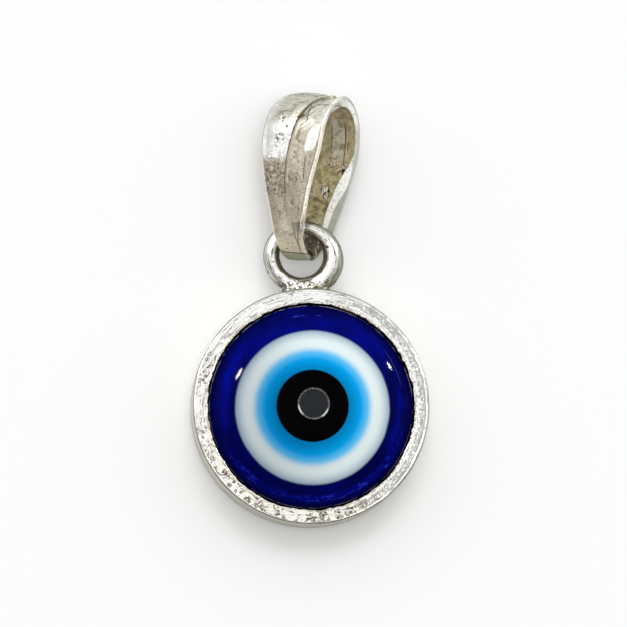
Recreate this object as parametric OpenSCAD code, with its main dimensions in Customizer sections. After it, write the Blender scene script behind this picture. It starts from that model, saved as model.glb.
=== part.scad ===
// Evil eye pendant: a round silver cup with a domed glass eye glued in it, a ring of wire
// soldered to the cup's wall, and a tapered strip bail that hangs loose on that ring.
// It lies on its flat back, which is z = 0, with the cup's axis at x = 0, y = 0.

/* [Cup] */
// Outer diameter of the round cup
cup_d = 14; // [10:0.5:30]
// Height of the cup, from its flat back to the rim
cup_h = 3; // [2.8:0.1:6]
// Width of the flat rim, which is the thickness of the cup's wall
rim_w = 0.85; // [0.6:0.05:2]
// Thickness of the closed back
back_t = 0.6; // [0.4:0.05:1.2]
// Bevel that softens both edges of the rim
rim_bevel = 0.12; // [0.05:0.01:0.25]
// Bevel round the edge of the back
back_bevel = 0.2; // [0.05:0.05:0.4]

/* [Eye glass] */
// Clearance between the glass and the cup's wall
glass_gap = 0.12; // [0.05:0.01:0.3]
// How far below the rim the dome starts
glass_drop = 0.15; // [0:0.05:0.5]
// Rise of the dome, from its edge to its crown
crown_h = 1.6; // [0.8:0.1:3]
// Diameter of the white ring
white_d = 9.05; // [8:0.05:11]
// Diameter of the light blue ring
blue_d = 6.55; // [5.5:0.05:7.5]
// Diameter of the black pupil
pupil_d = 4.25; // [3:0.05:5]
// Distance of the eye's middle from the cup's, away from the bail
eye_shift = 0.15; // [0:0.05:0.4]
// Thickness that each colour adds below the one inside it
layer_t = 0.35; // [0.3:0.05:0.6]
// Clearance round each colour
layer_gap = 0.03; // [0.02:0.01:0.1]
// Diameter of the shallow flat on the crown
flat_d = 1.8; // [1:0.1:2.8]
// Depth of that flat below the crown
flat_depth = 0.08; // [0.05:0.01:0.2]
// Distance of the flat from the middle of the pupil, toward the bail
flat_shift = 0.25; // [0:0.05:0.5]

/* [Soldered ring] */
// Thickness of the ring's wire
wire_d = 1.06; // [0.8:0.02:1.4]
// Diameter of the hole in the ring
hole_d = 2.5; // [2.2:0.1:4]
// Depth that the wire sinks into the cup's wall
wire_sink = 0.43; // [0.3:0.01:0.6]
// Distance of the ring from the pendant's middle line
ring_side = 0.09; // [0:0.01:0.5]
// Drop from the bail's axis to the middle of the ring
ring_drop = 0.2; // [0:0.05:0.5]
// Angle that raises the ring's outer end
ring_tilt = 8; // [0:0.5:15]
// Angle that raises the ring's right side
ring_roll = 7.5; // [0:0.5:12]
// Diameter of each pad of solder
solder_d = 1.2; // [0.8:0.1:1.6]
// Distance between the two pads of solder
solder_apart = 1.5; // [1:0.1:2.4]

/* [Bail] */
// Length of the bail's loop, outside
bail_l = 9.6; // [8:0.1:16]
// Width of the strip at its widest, across the crest
bail_w = 4.2; // [3.4:0.1:6]
// Depth of the loop at the crest, outside
bail_depth = 4.2; // [3.8:0.1:6]
// Thickness of the strip
bail_t = 0.5; // [0.4:0.02:0.7]
// Height of the rounded band on the strip's left side
band_h = 0.2; // [0.1:0.01:0.4]
// Height of the raised lip on the strip's right edge
lip_h = 0.12; // [0.05:0.01:0.3]
// How much narrower the strip's foot is than the ring's hole
foot_clear = 0.9; // [0.6:0.05:1.4]
// Room inside the loop beside the ring's wire
wire_room = 1.95; // [1.8:0.05:3]
// Gap along the loop between its foot and the ring's wire
bail_play = 0.86; // [0.4:0.02:1.2]
// Gap between the bail and the surface that it lies on
floor_gap = 0.01; // [0.005:0.005:0.05]
// Angle that the bail is rolled about its length
bail_roll = 33.8; // [20:0.1:40]
// Angle that the bail's crest is raised
bail_pitch = 4.5; // [2:0.1:10]
// Angle that the bail leans to the right
bail_lean = 6.4; // [0:0.1:12]

/* [Hidden] */

ROUND = 96; // facets of the round pieces' preview
EXTRA = 1; // how far a cut runs past the face it opens

// Cup and glass
cup_r = cup_d / 2;
mouth_r = cup_r - rim_w;
glass_r = mouth_r - glass_gap;
dome_edge_z = cup_h - glass_drop;
crown_z = dome_edge_z + crown_h;
dome_r = (glass_r * glass_r + crown_h * crown_h) / (2 * crown_h);
// Height of the dome's surface at a distance r from the cup's axis
function dome_z(r) = crown_z - dome_r + sqrt(dome_r * dome_r - r * r);
// Floor of each colour: the pupil's is layer_t below its edge, and each next one layer_t lower
pupil_floor = dome_z(pupil_d / 2) - layer_t;
blue_floor = min(pupil_floor, dome_z(blue_d / 2)) - layer_t;
white_floor = min(blue_floor, dome_z(white_d / 2)) - layer_t;

// The bail is one strip, bent from its crest down the front leg, round the foot and up the
// back leg. Each row of LOOP is a station along it. Its columns are
UP = 0; // height along the loop, as a share of its length
OUT = 1; // half the loop's depth, as a share; the front leg is positive
WIDE = 2; // width, as a share of the way from the foot's width to the crest's
THICK = 3; // thickness, as a share of the strip's
SHIFT = 4; // place sideways, as a share of the crest's width
TWIST = 5; // twist of the strip about its own length, in degrees
FOLD = 6; // place of the fold between the band and the hollow, as a share of the width
RELIEF = 7; // height of the band and the lip, as a share
LOOP = [
    [1.00, 0.00, 0.96, 1.0, 0.065, 0, 0.80, 1.5],
    [0.955, 0.60, 0.95, 1.0, 0.05, 0, 0.66, 1.2],
    [0.84, 0.98, 0.97, 1.0, 0.032, 0, 0.54, 1.0],
    [0.67, 1.01, 0.92, 1.0, -0.01, 0, 0.48, 1.0],
    [0.47, 1.00, 0.63, 1.0, -0.03, 0, 0.46, 0.9],
    [0.28, 0.99, 0.34, 1.0, -0.01, 0, 0.46, 0.7],
    [0.10, 0.86, 0.10, 1.0, 0.00, 0, 0.60, 0.5],
    [0.00, 0.00, 0.00, 1.1, -0.03, 0, 0.80, 0.2],
    [0.10, -0.86, 0.03, 1.15, -0.01, -4, 0.80, 0.0],
    [0.28, -0.99, 0.32, 1.3, 0.06, -8, 0.80, 0.0],
    [0.47, -1.00, 0.66, 1.3, 0.085, -7, 0.80, 0.0],
    [0.67, -1.01, 0.89, 1.1, 0.063, 0, 0.80, 0.0],
    [0.84, -0.98, 0.97, 1.0, 0.043, 0, 0.80, 0.2],
    [0.955, -0.60, 0.97, 1.0, 0.05, 0, 0.80, 0.6]
];
STATIONS = len(LOOP);
STEPS = 5; // rings of points from one station to the next
BAND_POINTS = 9; // points across the outside of the strip
INSIDE_POINTS = 4; // points across its inside
EDGE_POINTS = 2; // one at the middle of each edge
EDGE_CUT = 0.2; // how far the strip's corners are rounded, as a share of its thickness
SLOPE_STEP = 0.02; // part of a station over which the strip's direction is taken

foot_w = hole_d - foot_clear;
foot_depth = wire_d + 2 * bail_t + wire_room;

function loop_row(i) = LOOP[(i + STATIONS) % STATIONS];
function curve(a, b, c, d, f) =
    b + f / 2 * (c - a) + f * f / 2 * (2 * a - 5 * b + 4 * c - d)
    + f * f * f / 2 * (3 * b - a - 3 * c + d);
function station(s) = let (i = floor(s))
    curve(loop_row(i - 1), loop_row(i), loop_row(i + 1), loop_row(i + 2), s - i);
// Middle of the strip's thickness at s, as [along the loop, through its depth]
function middle(s) = let (
        row = station(s),
        depth = foot_depth + (bail_depth - foot_depth) * row[UP]
    ) [bail_t / 2 + row[UP] * (bail_l - bail_t), row[OUT] * (depth - bail_t) / 2];
function outward(s) = let (way = middle(s + SLOPE_STEP) - middle(s - SLOPE_STEP))
    [way[1], -way[0]] / norm(way);
// Height of the strip's outside over its plain face, at a share x of the width
function relief(x, fold) = x < fold
    ? band_h * pow(sin(180 * x / fold), 0.7)
    : lip_h * pow((x - fold) / (1 - fold), 2);
// Outline of the strip cut across, as [across, out]
function strip_outline(w, t, fold, share) = let (cut = EDGE_CUT * t) concat(
    [for (i = [0 : BAND_POINTS - 1]) let (x = i / (BAND_POINTS - 1))
        [(x - 0.5) * (w - cut), t / 2 + share * relief(x, fold) - (x == 0 || x == 1 ? cut : 0)]],
    [[w / 2, 0]],
    [for (i = [INSIDE_POINTS - 1 : -1 : 0]) let (x = i / (INSIDE_POINTS - 1))
        [(x - 0.5) * (w - cut), -t / 2 + (x == 0 || x == 1 ? cut : 0)]],
    [[-w / 2, 0]]
);
function strip_ring(s) = let (
        row = station(s),
        place = middle(s),
        out = outward(s),
        w = foot_w + (bail_w - foot_w) * row[WIDE],
        turn = row[TWIST]
    ) [for (p = strip_outline(w, bail_t * row[THICK], row[FOLD], row[RELIEF])) let (
            across = p[0] * cos(turn) - p[1] * sin(turn) + row[SHIFT] * bail_w,
            up = p[0] * sin(turn) + p[1] * cos(turn)
        ) [across, place[0] + out[0] * up, place[1] + out[1] * up]];

RINGS = STATIONS * STEPS;
RING_POINTS = BAND_POINTS + INSIDE_POINTS + EDGE_POINTS;
bail_points = [for (i = [0 : RINGS - 1], p = strip_ring(i / STEPS)) p];
// Two triangles for each patch between neighbouring rings
bail_faces = [for (i = [0 : RINGS - 1], j = [0 : RING_POINTS - 1]) let (
        a = i * RING_POINTS + j,
        b = i * RING_POINTS + (j + 1) % RING_POINTS,
        c = (i + 1) % RINGS * RING_POINTS + (j + 1) % RING_POINTS,
        d = (i + 1) % RINGS * RING_POINTS + j
    ) each [[a, b, c], [a, c, d]]];

// The rolled and pitched bail comes down until its lowest point meets the surface
function rolled_z(p) = p[0] * sin(bail_roll) + p[2] * cos(bail_roll);
function pitched_z(p) = p[1] * sin(bail_pitch) + rolled_z(p) * cos(bail_pitch);
bail_z = floor_gap - min([for (p = bail_points) pitched_z(p)]);

// The ring stands out from the wall, at the height where its wire runs free through the bail
ring_r = (hole_d + wire_d) / 2;
ring_y = cup_r - wire_sink + wire_d + hole_d / 2;
ring_z = bail_z - ring_drop;
bail_y = ring_y + hole_d / 2 - bail_play - bail_t;
solder_z = ring_z - ring_r * sin(ring_tilt);

module turned_profile(outline) {
    rotate_extrude($fn = ROUND) polygon(outline);
}

module cup() {
    turned_profile([
        [0, 0],
        [cup_r - back_bevel, 0],
        [cup_r, back_bevel],
        [cup_r, cup_h - rim_bevel],
        [cup_r - rim_bevel, cup_h],
        [mouth_r + rim_bevel, cup_h],
        [mouth_r, cup_h - rim_bevel],
        [mouth_r, back_t],
        [0, back_t]
    ]);
}

module wire_ring() {
    translate([ring_side, ring_y, ring_z])
        rotate([ring_tilt, 0, 0])
        rotate([0, -ring_roll, 0])
        rotate_extrude($fn = ROUND)
        translate([ring_r, 0])
        circle(d = wire_d, $fn = ROUND / 2);
}

// Two pads of solder, as high as the wire, fill the corners between it and the wall
module solder() {
    reach = cup_r - wire_sink + solder_d / 2;
    for (side = [-0.5, 0.5]) {
        x = ring_side + side * solder_apart;
        translate([x, sqrt(reach * reach - x * x), solder_z])
            cylinder(d = solder_d, h = wire_d, center = true, $fn = ROUND / 2);
    }
}

module setting() {
    color([0.86, 0.86, 0.83]) {
        cup();
        wire_ring();
        solder();
    }
}

// A disc that reaches up from floor_z past the crown, on the cup's axis moved by shift
module tall_disc(d, floor_z, shift) {
    translate([0, -shift, floor_z])
        cylinder(d = d, h = crown_z - floor_z + EXTRA, $fn = ROUND);
}

// A disc of glass whose top is part of the one dome that all the colours share
module domed_disc(d, floor_z, shift = eye_shift) {
    intersection() {
        tall_disc(d, floor_z, shift);
        translate([0, 0, crown_z - dome_r])
            sphere(r = dome_r, $fn = 2 * ROUND);
    }
}

// The pocket that a colour of diameter d sits in
module pocket(d, floor_z) {
    tall_disc(d + 2 * layer_gap, floor_z, eye_shift);
}

module cobalt_glass() {
    color([0.02, 0.03, 0.5])
    difference() {
        domed_disc(2 * glass_r, back_t, 0);
        pocket(white_d, white_floor);
    }
}

module white_glass() {
    color([0.93, 0.94, 0.96])
    difference() {
        domed_disc(white_d, white_floor);
        pocket(blue_d, blue_floor);
    }
}

module blue_glass() {
    color([0.05, 0.58, 0.9])
    difference() {
        domed_disc(blue_d, blue_floor);
        pocket(pupil_d, pupil_floor);
    }
}

module pupil_glass() {
    color([0.03, 0.03, 0.04])
    difference() {
        domed_disc(pupil_d, pupil_floor);
        tall_disc(flat_d, crown_z - flat_depth, eye_shift - flat_shift);
    }
}

module bail() {
    color([0.82, 0.81, 0.78])
    translate([0, bail_y, bail_z])
        rotate([bail_pitch, 0, -bail_lean])
        rotate([0, -bail_roll, 0])
        polyhedron(points = bail_points, faces = bail_faces, convexity = 4);
}

setting();
cobalt_glass();
white_glass();
blue_glass();
pupil_glass();
bail();
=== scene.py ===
from math import cos, floor, pi, radians, sin

import bmesh
import bpy
import numpy as np
from mathutils import Matrix, Vector, noise


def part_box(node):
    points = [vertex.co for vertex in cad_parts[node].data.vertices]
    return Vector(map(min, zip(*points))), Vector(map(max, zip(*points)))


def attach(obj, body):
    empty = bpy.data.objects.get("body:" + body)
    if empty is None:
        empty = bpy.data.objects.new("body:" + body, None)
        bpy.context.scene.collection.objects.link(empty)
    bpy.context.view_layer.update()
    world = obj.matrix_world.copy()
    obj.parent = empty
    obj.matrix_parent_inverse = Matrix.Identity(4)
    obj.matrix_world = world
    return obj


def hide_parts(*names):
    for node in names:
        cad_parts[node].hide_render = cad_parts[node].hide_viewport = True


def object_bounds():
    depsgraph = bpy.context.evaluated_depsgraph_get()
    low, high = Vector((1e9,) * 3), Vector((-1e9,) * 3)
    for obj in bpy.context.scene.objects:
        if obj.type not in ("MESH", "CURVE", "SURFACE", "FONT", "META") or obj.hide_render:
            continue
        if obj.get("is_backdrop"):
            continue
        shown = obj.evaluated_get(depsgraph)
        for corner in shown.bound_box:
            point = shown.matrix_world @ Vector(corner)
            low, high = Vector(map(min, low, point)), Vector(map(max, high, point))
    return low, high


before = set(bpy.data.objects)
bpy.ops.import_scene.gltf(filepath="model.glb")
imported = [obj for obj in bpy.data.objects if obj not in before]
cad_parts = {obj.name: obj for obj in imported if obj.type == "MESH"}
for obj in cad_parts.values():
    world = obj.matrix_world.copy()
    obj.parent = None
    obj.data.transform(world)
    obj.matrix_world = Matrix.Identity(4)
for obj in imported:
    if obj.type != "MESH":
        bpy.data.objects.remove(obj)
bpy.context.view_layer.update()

# The view, the table and the light. The pendant lies on its flat back on a plain pale table,
# and the camera looks down on it, tilted a little to its lower left. Soft light comes from
# beyond the bail, the near side is dimmer, and two small lamps glint on the glass.
MM = 0.001  # every size and place below is in millimetres
PICTURE = 627  # pixels across the picture
PIXELS_PER_MM = 17.0
CUP_PIXEL = (311.3, 406.0)  # where the middle of the cup's rim is seen
CUP_HEIGHT = 3.0
CAMERA_TILT = radians(7)
CAMERA_SIDE = radians(236.9)
CAMERA_LEAN = radians(3.2)
LENS = 300
SENSOR = 36

back = Vector((
    sin(CAMERA_TILT) * cos(CAMERA_SIDE),
    sin(CAMERA_TILT) * sin(CAMERA_SIDE),
    cos(CAMERA_TILT),
))
level_up = (Vector((0, 1, 0)) - back * back.y).normalized()
level_right = level_up.cross(back)
right = cos(CAMERA_LEAN) * level_right - sin(CAMERA_LEAN) * level_up
up = sin(CAMERA_LEAN) * level_right + cos(CAMERA_LEAN) * level_up
middle = (
    Vector((0, 0, CUP_HEIGHT))
    + right * (PICTURE / 2 - CUP_PIXEL[0]) / PIXELS_PER_MM
    + up * (CUP_PIXEL[1] - PICTURE / 2) / PIXELS_PER_MM
)
distance = PICTURE / PIXELS_PER_MM * LENS / SENSOR


def add(name, data):
    """Puts a camera, a lamp or a mesh into the scene."""
    new = bpy.data.objects.new(name, data)
    bpy.context.scene.collection.objects.link(new)
    return new


camera = add("camera", bpy.data.cameras.new("camera"))
camera.data.lens = LENS
camera.data.sensor_width = SENSOR
camera.data.clip_start = 10 * MM
camera.data.clip_end = 10
camera.matrix_world = Matrix.Translation((middle + back * distance) * MM) @ Matrix(
    (right, up, back)
).transposed().to_4x4()
bpy.context.scene.camera = camera
bpy.context.scene.view_settings.view_transform = "Standard"


class Value:
    """An output in the nodes of a material or the world, which arithmetic works on."""

    def __init__(self, tree, socket=None):
        self.tree = tree
        self.socket = socket

    def feed(self, socket, value):
        """Links a value into a socket, or sets it there. A tuple is a colour."""
        if isinstance(value, Value):
            self.tree.links.new(value.socket, socket)
        else:
            socket.default_value = (*value, 1.0) if isinstance(value, tuple) else value

    def node(self, kind, settings=None, sockets=None, output=0):
        """Adds a node: its settings first, then the values or links of its sockets."""
        new = self.tree.nodes.new(kind)
        for name, setting in (settings or {}).items():
            setattr(new, name, setting)
        for name, value in (sockets or {}).items():
            self.feed(new.inputs[name], value)
        return Value(self.tree, new.outputs[output]) if len(new.outputs) else new

    def math(self, operation, *others):
        sockets = dict(enumerate((self, *others)))
        return self.node("ShaderNodeMath", {"operation": operation}, sockets)

    def __add__(self, other):
        return self.math("ADD", other)

    def __sub__(self, other):
        return self.math("SUBTRACT", other)

    def __rsub__(self, other):
        return (self * -1) + other

    def __mul__(self, other):
        return self.math("MULTIPLY", other)

    def __truediv__(self, other):
        return self.math("DIVIDE", other)

    def __pow__(self, other):
        return self.math("POWER", other)

    __radd__ = __add__
    __rmul__ = __mul__

    def rise(self, low, high):
        """0 below low and 1 above high, with a soft step between. It falls if low > high."""
        if low > high:
            return 1 - self.rise(high, low)
        return self.node(
            "ShaderNodeMapRange",
            {"interpolation_type": "SMOOTHSTEP"},
            {"Value": self, "From Min": low, "From Max": high},
        )

    def between(self, low, high, soft):
        """1 from low to high and 0 outside, with a soft step at both ends."""
        return self.rise(low - soft, low + soft) * self.rise(high + soft, high - soft)

    def line(self, width):
        """1 where this value is 0, as a soft line of this width."""
        return self.math("ABSOLUTE").rise(width / 2, width / 6)

    def mix(self, start, end):
        """The colour start where this value is 0, and end where it is 1."""
        sockets = {0: self, 6: start, 7: end}
        return self.node("ShaderNodeMix", {"data_type": "RGBA"}, sockets, 2)

    def parts(self):
        """The x, y and z of this vector."""
        return [self.node("ShaderNodeSeparateXYZ", None, {"Vector": self}, axis) for axis in "XYZ"]

    def joined(self, x, y, z=0.0):
        """The vector of these three, which may each vary."""
        return self.node("ShaderNodeCombineXYZ", None, {"X": x, "Y": y, "Z": z})

    def stored(self, name, output="Fac"):
        """What store() kept under this name for each point of the piece."""
        return self.node("ShaderNodeAttribute", {"attribute_name": name}, output=output)

    def grain(self, size, detail=2.0, roughness=0.5, distortion=0.0):
        """Cloudy noise from 0 to 1 over this place, with lumps of about this size."""
        sockets = {
            "Vector": self,
            "Scale": 1 / size,
            "Detail": detail,
            "Roughness": roughness,
            "Distortion": distortion,
        }
        return self.node("ShaderNodeTexNoise", None, sockets)


# The space round the table: bright behind the bail and overhead, greyer along the horizon,
# and dim brown on the near side
BRIGHT = (1.0, 1.0, 1.0)
HORIZON = (0.7, 0.7, 0.66)
DIM = (0.34, 0.335, 0.3)
world = bpy.data.worlds.new("studio")
bpy.context.scene.world = world
world.use_nodes = True
world.node_tree.nodes.clear()
studio = Value(world.node_tree)
side, far, high = studio.node("ShaderNodeTexCoord", output="Generated").parts()
glow = (far + 0.14 * side + 0.22 * high * high).rise(-0.32, 0.08)
sky = high.rise(0.0, 0.4).mix(HORIZON, BRIGHT)
background = studio.node("ShaderNodeBackground", None, {"Color": glow.mix(DIM, sky)})
studio.node("ShaderNodeOutputWorld", None, {"Surface": background})

LIT_PLACE = (0, 5, 0)  # what the lamps face


def lamp(name, side, height, away, width, length, brightness, only_glints=False):
    """A flat lamp that faces the pendant, at a compass side and a height in degrees. It
    only glints on what is glossy, or only lights what is dull."""
    side, height = radians(side), radians(height)
    out = Vector((cos(side) * cos(height), sin(side) * cos(height), sin(height)))
    light = bpy.data.lights.new(name, "AREA")
    light.shape = "ELLIPSE" if only_glints else "RECTANGLE"
    light.size = width * MM
    light.size_y = length * MM
    light.energy = brightness * pi * light.size * light.size_y
    holder = add(name, light)
    holder.location = (Vector(LIT_PLACE) + out * away) * MM
    holder.rotation_euler = out.to_track_quat("Z", "Y").to_euler()
    holder.visible_camera = False
    holder.visible_diffuse = not only_glints
    holder.visible_glossy = only_glints


# Each lamp's side and height in degrees, distance, width, length and brightness
lamp("key_light", 84, 62, 700, 300, 220, 4.4)
lamp("top_light", 270, 84, 700, 300, 300, 2.55)
lamp("left_lamp", 146, 45, 500, 58, 13, 900, True)
lamp("right_lamp", 27, 33.5, 500, 38, 12, 900, True)

TABLE_SIZE = 3000
TABLE_COLOUR = (0.925, 0.926, 0.94)
half = TABLE_SIZE / 2 * MM
table_mesh = bpy.data.meshes.new("table")
corners = [(-half, -half, 0), (half, -half, 0), (half, half, 0), (-half, half, 0)]
table_mesh.from_pydata(corners, [], [(0, 1, 2, 3)])
table = add("table", table_mesh)
table_paint = bpy.data.materials.new("table")
table_paint.use_nodes = True
table_shader = table_paint.node_tree.nodes["Principled BSDF"]
table_shader.inputs["Base Color"].default_value = (*TABLE_COLOUR, 1.0)
table_shader.inputs["Roughness"].default_value = 0.9
table_shader.inputs["Specular IOR Level"].default_value = 0.0
table_mesh.materials.append(table_paint)
table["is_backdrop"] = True

# The cup. It is turned from silver, with a closed flat back and a wide flat rim that was
# hammered down over the glass and filed, so the rim is full of small marks and its inner edge
# wanders. Its outer edge is polished bright.
CUP_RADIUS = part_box("setting")[1].x / MM
RIM_WIDTH = 0.85
BACK_THICKNESS = 0.6
BACK_BEVEL = 0.2
BACK_MARGIN = 0.3
RIM_EDGE = 0.14
MOUTH_EDGE = 0.06
MOUTH_DEPTH = 0.8
MOUTH = CUP_RADIUS - RIM_WIDTH
CUP_TURNS = 900
SHARP_CORNER = radians(50)

# Unevenness comes in waves, each with its height, the size of its lumps and a seed
RIM_MARKS = ((0.016, 0.6, 1), (0.012, 0.22, 2))
WALL_DENTS = ((0.02, 1.6, 3), (0.008, 0.5, 4))
MOUTH_NICKS = ((0.05, 0.8, 5), (0.06, 0.33, 6))
WORN_IN = 0.02
MOUTH_WORN = 0.05
MOUTH_SHIFT = 0.035
NICK_LIMITS = (-0.08, 0.11)


def uneven(points, waves):
    """The sum of these waves at each point, in millimetres."""
    total = np.zeros(len(points))
    for height, size, seed in waves:
        shift = Vector((seed, seed * 2, seed * 3))
        total += height * np.array([noise.noise(Vector(p) / size + shift) for p in points])
    return total


def step(value, low, high):
    """0 below low and 1 above high, with a soft step between."""
    share = np.clip((value - low) / (high - low), 0, 1)
    return share * share * (3 - 2 * share)


def circle(count):
    """Evenly spaced angles once round."""
    return np.linspace(0, 2 * pi, count, endpoint=False)


def ring_faces(rings, count, closed=False):
    """Quads between rings of points, with a cap on the first and the last if not closed."""
    faces = []
    for i in range(rings if closed else rings - 1):
        here, there = i * count, (i + 1) % rings * count
        for j in range(count):
            k = (j + 1) % count
            faces.append((here + j, here + k, there + k, there + j))
    if not closed:
        faces.append(tuple(range(count)))
        faces.append(tuple((rings - 1) * count + j for j in range(count)))
    return faces


def face_outward(mesh):
    shell = bmesh.new()
    shell.from_mesh(mesh)
    bmesh.ops.recalc_face_normals(shell, faces=shell.faces)
    shell.to_mesh(mesh)
    shell.free()


def make_piece(name, points, faces, material):
    """A smooth closed mesh from points in millimetres."""
    mesh = bpy.data.meshes.new(name)
    mesh.from_pydata((np.asarray(points) * MM).tolist(), [], faces)
    face_outward(mesh)
    mesh.shade_smooth()
    mesh.set_sharp_from_angle(angle=SHARP_CORNER)
    mesh.materials.append(material)
    return add(name, mesh)


def store(piece, name, values, kind="FLOAT"):
    """Keeps a value for each point, which the piece's material reads by its name."""
    layer = piece.data.attributes.new(name, kind, "POINT")
    field = "vector" if kind == "FLOAT_VECTOR" else "value"
    layer.data.foreach_set(field, np.asarray(values, dtype=np.float32).ravel())


def new_material(name):
    """A material, the start of its nodes, and the place on the piece in millimetres."""
    material = bpy.data.materials.new(name)
    material.use_nodes = True
    material.node_tree.nodes.clear()
    nodes = Value(material.node_tree)
    place = nodes.node("ShaderNodeTexCoord", output="Object")
    sockets = {"Vector": place, "Scale": 1 / MM}
    place = nodes.node("ShaderNodeVectorMath", {"operation": "SCALE"}, sockets)
    return material, nodes, place


def finish_surface(nodes, height, depth, colour, roughness, metallic=0.0, shine=0.5):
    """The shader, with a bump of this depth in millimetres where height goes from 0 to 1."""
    bump = nodes.node("ShaderNodeBump", None, {"Height": height, "Distance": depth * MM})
    sockets = {
        "Base Color": colour,
        "Metallic": metallic,
        "Roughness": roughness,
        "Specular IOR Level": shine,
        "Normal": bump,
    }
    shader = nodes.node("ShaderNodeBsdfPrincipled", None, sockets)
    nodes.node("ShaderNodeOutputMaterial", None, {"Surface": shader})


def layered(base, *layers):
    """This colour, with each share and its colour laid over the ones before it."""
    for share, over in layers:
        base = share.mix(base, over)
    return base


def arc(middle_r, middle_z, radius, start, end, count):
    """Points of a quarter round in a turned outline, with angles in degrees."""
    angles = np.radians(np.linspace(start, end, count))
    return [(middle_r + radius * cos(a), middle_z + radius * sin(a)) for a in angles]


def line(start, end, count):
    """Evenly spaced points of a straight stretch, without its ends."""
    shares = np.linspace(0, 1, count + 2)[1:-1]
    return [tuple(np.array(start) * (1 - s) + np.array(end) * s) for s in shares]


cup_outline = [
    (CUP_RADIUS - BACK_BEVEL - BACK_MARGIN, 0),
    *arc(CUP_RADIUS - BACK_BEVEL, BACK_BEVEL, BACK_BEVEL, -90, 0, 7),
    *line((CUP_RADIUS, BACK_BEVEL), (CUP_RADIUS, CUP_HEIGHT - RIM_EDGE), 16),
    *arc(CUP_RADIUS - RIM_EDGE, CUP_HEIGHT - RIM_EDGE, RIM_EDGE, 0, 90, 8),
    *line((CUP_RADIUS - RIM_EDGE, CUP_HEIGHT), (MOUTH + MOUTH_EDGE, CUP_HEIGHT), 16),
    *arc(MOUTH + MOUTH_EDGE, CUP_HEIGHT - MOUTH_EDGE, MOUTH_EDGE, 90, 180, 6),
    *line((MOUTH, CUP_HEIGHT - MOUTH_EDGE), (MOUTH, CUP_HEIGHT - MOUTH_DEPTH), 5),
    (MOUTH, CUP_HEIGHT - MOUTH_DEPTH),
    (MOUTH, BACK_THICKNESS),
]
cup_points = np.array([
    (r * cos(a), r * sin(a), z) for r, z in cup_outline for a in circle(CUP_TURNS)
])
reach = np.hypot(cup_points[:, 0], cup_points[:, 1])
height = cup_points[:, 2]
outward = cup_points[:, :2] / reach[:, None]
on_rim = step(height, CUP_HEIGHT - 0.3, CUP_HEIGHT) * step(reach, MOUTH - 0.01, MOUTH + 0.1)
on_rim *= 1 - step(reach, CUP_RADIUS - 0.25, CUP_RADIUS - 0.1)
cup_points[:, 2] += on_rim * (uneven(cup_points, RIM_MARKS) - WORN_IN)
on_wall = step(height, 0.1, 0.4) * step(reach, CUP_RADIUS - 0.3, CUP_RADIUS - 0.05)
dents = uneven(cup_points, WALL_DENTS) - WORN_IN
at_mouth = step(height, 1.5, 2.7) * (1 - step(reach, MOUTH, MOUTH + 0.3))
nicks = uneven(cup_points, MOUTH_NICKS) + MOUTH_WORN + MOUTH_SHIFT * outward[:, 1]
cup_points[:, :2] -= outward * (at_mouth * np.clip(nicks, *NICK_LIMITS))[:, None]
cup_points[:, :2] += outward * (on_wall * dents)[:, None]

SILVER = (0.95, 0.95, 0.92)
CREAM_SILVER = (0.95, 0.92, 0.85)
GREYISH = (0.44, 0.445, 0.42)
LILAC_SILVER = (0.34, 0.335, 0.36)
MOTTLE_SILVER = (0.33, 0.335, 0.315)
EDGE_SILVER = (0.36, 0.36, 0.32)
SHADED_WALL_SILVER = (0.5, 0.485, 0.39)
TAN_SOIL = (0.42, 0.36, 0.27)
SOIL = (0.11, 0.08, 0.05)
SHADOW_SOIL = (0.02, 0.02, 0.018)

cup_silver, nodes, place = new_material("cup_silver")
x, y, z = place.parts()
radius = (x * x + y * y) ** 0.5
rightness = x / radius
farness = y / radius
around = nodes.joined(radius, rightness * 0.8, farness * 0.8)
right_side = rightness.rise(0.1, 0.6)
near_side = (farness + rightness * 0.45).rise(-0.35, -0.8)
left_cluster = (farness * 0.36 - rightness * 0.93).rise(0.975, 0.99)
face = z.rise(CUP_HEIGHT - 0.16, CUP_HEIGHT - 0.09)
small = place.grain(0.12, 2, 0.6)
loops = (place.grain(0.34, 2, 0.5, 0.5) - 0.5).line(0.07)
strokes = around.grain(0.13, 3, 0.65, 0.9)
chips = place.grain(0.42, 1, 0.5, 1.6)
breaks = place.grain(0.6, 1, 0.5)
scores = (around.grain(0.16, 1, 0.5, 0.5) - 0.5).line(0.06) * breaks.rise(0.43, 0.51)
broad = place.grain(1.3, 1)
mottled_band = radius.between(MOUTH + 0.22, CUP_RADIUS - 0.3, 0.05) * right_side
mottles = (small.rise(0.44, 0.56) * 0.8 + loops * 0.7) * mottled_band + scores
marks = strokes.rise(0.53, 0.61) * (0.2 + 0.8 * broad.rise(0.4, 0.6))
mid_rim = radius.between(MOUTH + 0.12, CUP_RADIUS - 0.16, 0.06)
chipped = (near_side + 0.1).rise(0, 1) * mid_rim
tan = chips.rise(0.56, 0.64) * breaks.rise(0.42, 0.52) * chipped * (1 - 0.5 * right_side)
deep = (chips - 0.55).line(0.13) * breaks.rise(0.42, 0.47) * chipped
cracks = (chips - 0.52).line(0.12) * left_cluster * mid_rim
groove = (radius - (CUP_RADIUS - 0.27)).line(0.15) * right_side
outline = (radius - (CUP_RADIUS - 0.06)).line(0.17)
bare = (near_side * 0.8 + rightness.rise(-0.2, -0.8) * 0.5).rise(0, 1).mix(SILVER, CREAM_SILVER)
wall = radius.rise(CUP_RADIUS - 0.1, CUP_RADIUS - 0.05) * z.rise(CUP_HEIGHT - 0.1, CUP_HEIGHT - 0.2)
inner_edge = radius.rise(MOUTH + 0.16, MOUTH - 0.02) * (small + strokes).rise(0.94, 1.06)
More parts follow.
